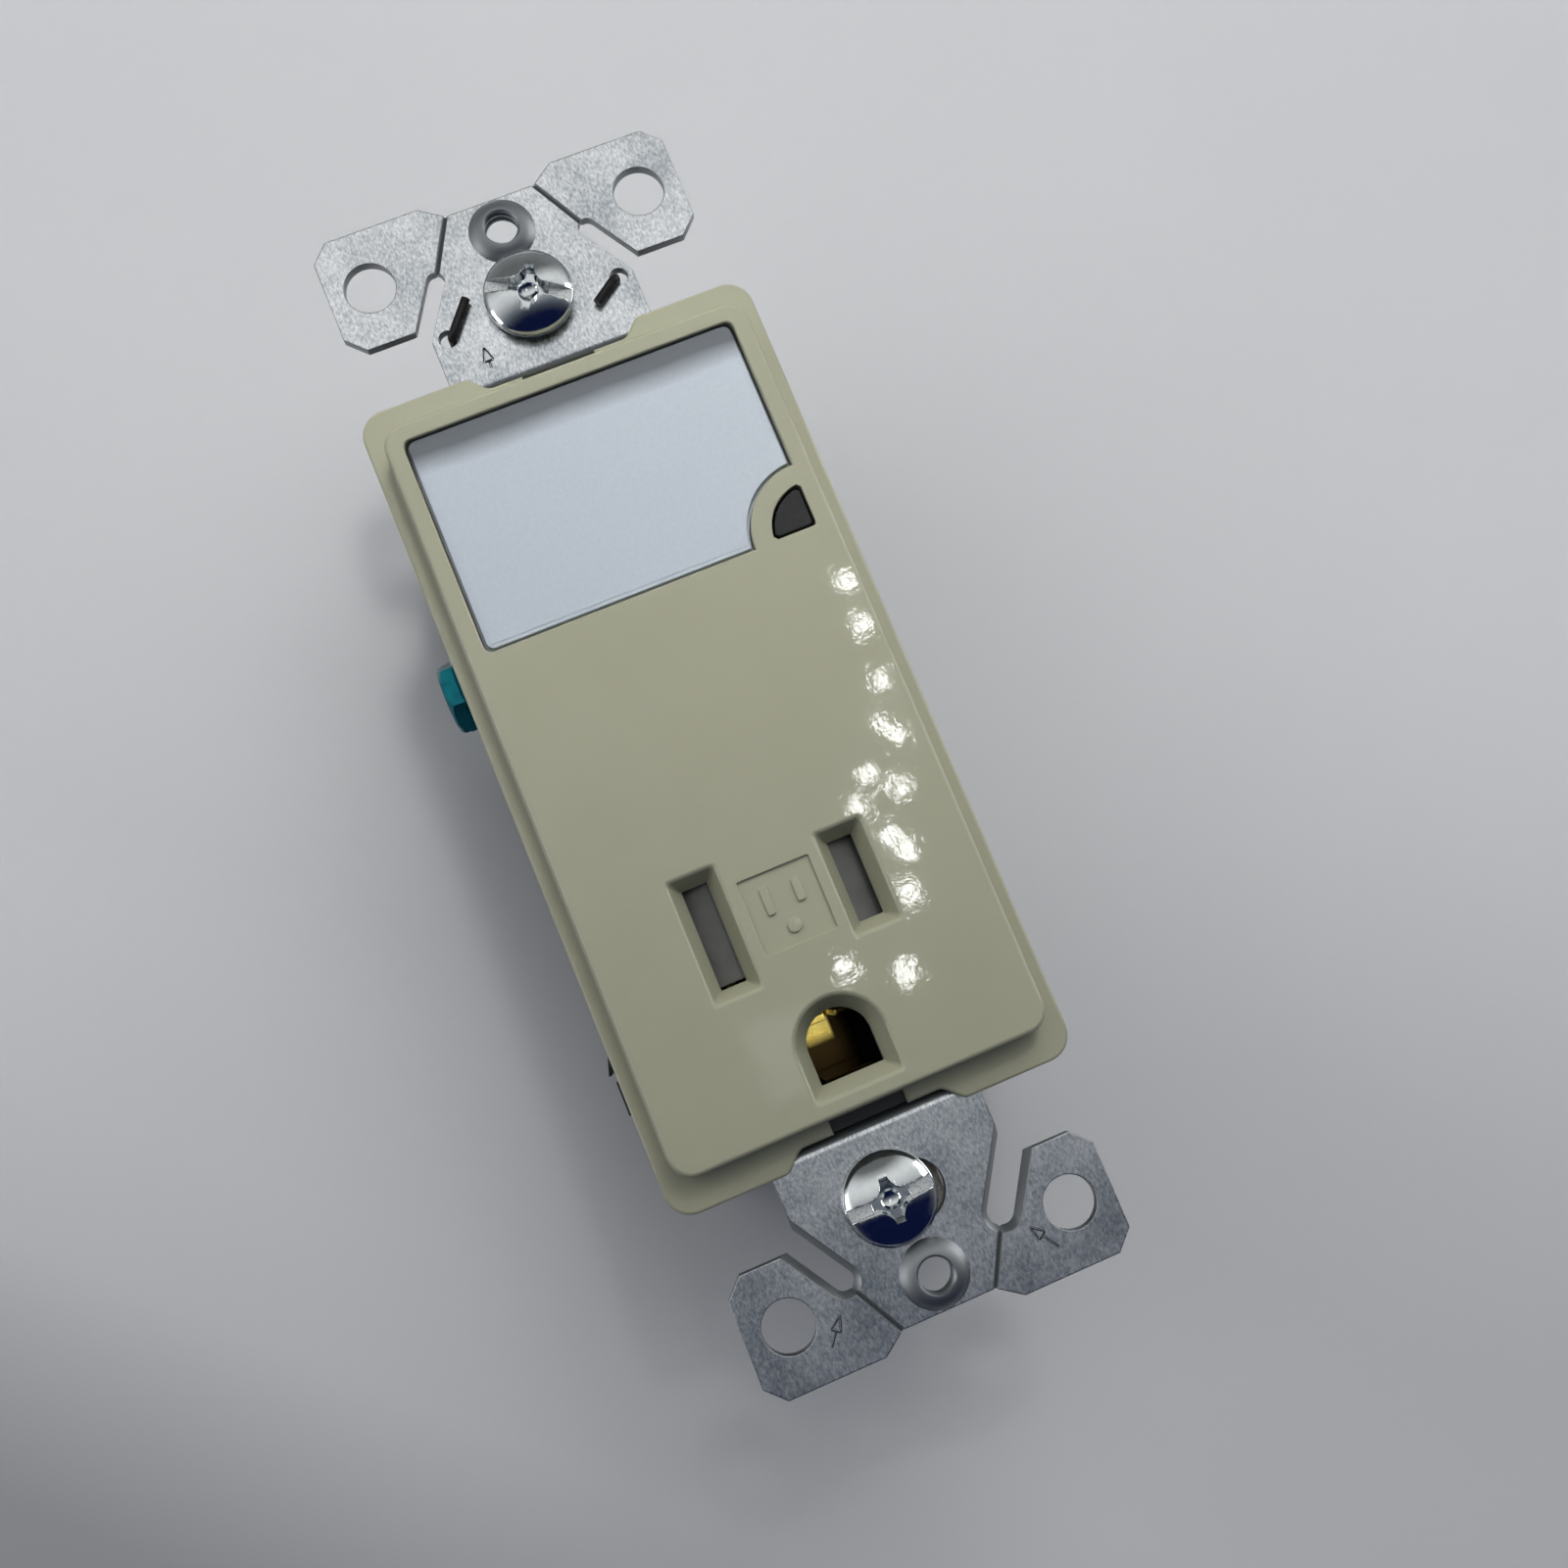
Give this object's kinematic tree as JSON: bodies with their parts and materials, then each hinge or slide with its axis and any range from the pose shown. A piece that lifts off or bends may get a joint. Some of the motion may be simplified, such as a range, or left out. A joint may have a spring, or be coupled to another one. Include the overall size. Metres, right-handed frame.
{
  "type": "night light outlet",
  "caption": "Decorator wiring device: LED night light with light sensor over a tamper-resistant grounded outlet, on a steel wrap-round strap with break-off ears.",
  "frame": {"origin": "centre of the outer face of the strap's back run, on which the device lies", "axes": "+X right and +Y towards the top end as seen from the front, +Z out of the face"},
  "size_m": [0.0391, 0.1058, 0.0322],
  "materials": {
    "almond_plastic": "glossy moulded light almond with a slight orange peel",
    "frosted_lens": "frosted translucent white",
    "smoked_plastic": "smoked, polished",
    "zinc_steel": "zinc-plated sheet, satin",
    "black_plastic": "moulded black",
    "bright_zinc": "bright zinc plating",
    "fibre_card": "pressed fibre",
    "blued_wire": "dark spring wire",
    "green_zinc": "green dyed zinc",
    "nickel_steel": "nickel plated",
    "brass": "bright rolled brass",
    "grey_plastic": "moulded grey",
    "white_plastic": "moulded white",
    "spring_steel": "spring wire",
    "circuit_laminate": "solder mask over laminate",
    "led_package": "white package with yellow phosphor",
    "film_capacitor": "dipped",
    "black_epoxy": "moulded epoxy",
    "resistor_body": "lacquered",
    "white_insulation": "extruded",
    "black_insulation": "extruded"
  },
  "bodies": {
    "device": {"front_cover": "almond_plastic", "night_light_lens": "frosted_lens", "sensor_window": "smoked_plastic", "mounting_strap": "zinc_steel", "rear_housing": "black_plastic", "assembly_screw_1": "bright_zinc", "assembly_screw_2": "bright_zinc", "assembly_screw_3": "bright_zinc", "assembly_screw_4": "bright_zinc", "neutral_contact": "brass", "hot_contact": "brass", "ground_contact": "brass", "ground_rivet": "brass", "shutter_frame": "white_plastic", "shutter_spring": "spring_steel", "light_box": "white_plastic", "circuit_board": "circuit_laminate", "led_left": "led_package", "led_middle": "led_package", "led_right": "led_package", "photo_sensor": "smoked_plastic", "capacitor": "film_capacitor", "rectifier": "black_epoxy", "resistor": "resistor_body", "neutral_lead": "white_insulation", "hot_lead": "black_insulation", "top_screw_retainer": "fibre_card", "bottom_screw_retainer": "fibre_card", "self_grounding_clip": "blued_wire"},
    "neutral_shutter": {"neutral_shutter": "grey_plastic"},
    "hot_shutter": {"hot_shutter": "grey_plastic"},
    "neutral_clamp": {"neutral_clamp": "nickel_steel"},
    "neutral_screw": {"neutral_screw": "nickel_steel"},
    "hot_clamp": {"hot_clamp": "nickel_steel"},
    "hot_screw": {"hot_screw": "brass"},
    "ground_screw": {"ground_screw": "green_zinc"},
    "top_mounting_screw": {"top_mounting_screw": "bright_zinc"},
    "bottom_mounting_screw": {"bottom_mounting_screw": "bright_zinc"}
  },
  "joints": [
    {"name": "neutral_shutter_slide", "type": "slide", "parent": "device", "child": "neutral_shutter", "axis": [1, 0, 0], "range_m": [0, 0.0033], "stiffness_N_per_m": 30, "springref_m": -0.004, "deforming": ["shutter_spring"]},
    {"name": "hot_shutter_slide", "type": "slide", "parent": "device", "child": "hot_shutter", "axis": [-1, 0, 0], "range_m": [0, 0.0033], "deforming": ["shutter_spring"]},
    {"name": "neutral_clamp_slide", "type": "slide", "parent": "device", "child": "neutral_clamp", "axis": [1, 0, 0], "range_m": [0, 0.002]},
    {"name": "neutral_screw_turn", "type": "hinge", "parent": "neutral_clamp", "child": "neutral_screw", "pos_m": [-0.0166, -0.0172, 0.013], "axis": [1, 0, 0], "range_deg": [0, 908]},
    {"name": "hot_clamp_slide", "type": "slide", "parent": "device", "child": "hot_clamp", "axis": [-1, 0, 0], "range_m": [0, 0.002]},
    {"name": "hot_screw_turn", "type": "hinge", "parent": "hot_clamp", "child": "hot_screw", "pos_m": [0.0166, -0.0172, 0.013], "axis": [-1, 0, 0], "range_deg": [0, 908]},
    {"name": "ground_screw_turn", "type": "hinge", "parent": "device", "child": "ground_screw", "pos_m": [-0.018, 0.0143, 0.013], "axis": [1, 0, 0], "range_deg": [-1080, 0]},
    {"name": "top_mounting_screw_turn", "type": "hinge", "parent": "device", "child": "top_mounting_screw", "pos_m": [0, 0.04167, 0.0287], "axis": [0, 0, 1], "continuous": true},
    {"name": "bottom_mounting_screw_turn", "type": "hinge", "parent": "device", "child": "bottom_mounting_screw", "pos_m": [-0.00105, -0.04137, 0.0282], "axis": [0, 0, 1], "continuous": true}
  ],
  "couplings": [
    {"joint": "hot_shutter_slide", "follows": "neutral_shutter_slide", "ratio": 1},
    {"joint": "neutral_screw_turn", "follows": "neutral_clamp_slide", "rad_per_m": 7915.8},
    {"joint": "hot_screw_turn", "follows": "hot_clamp_slide", "rad_per_m": 7915.8}
  ]
}
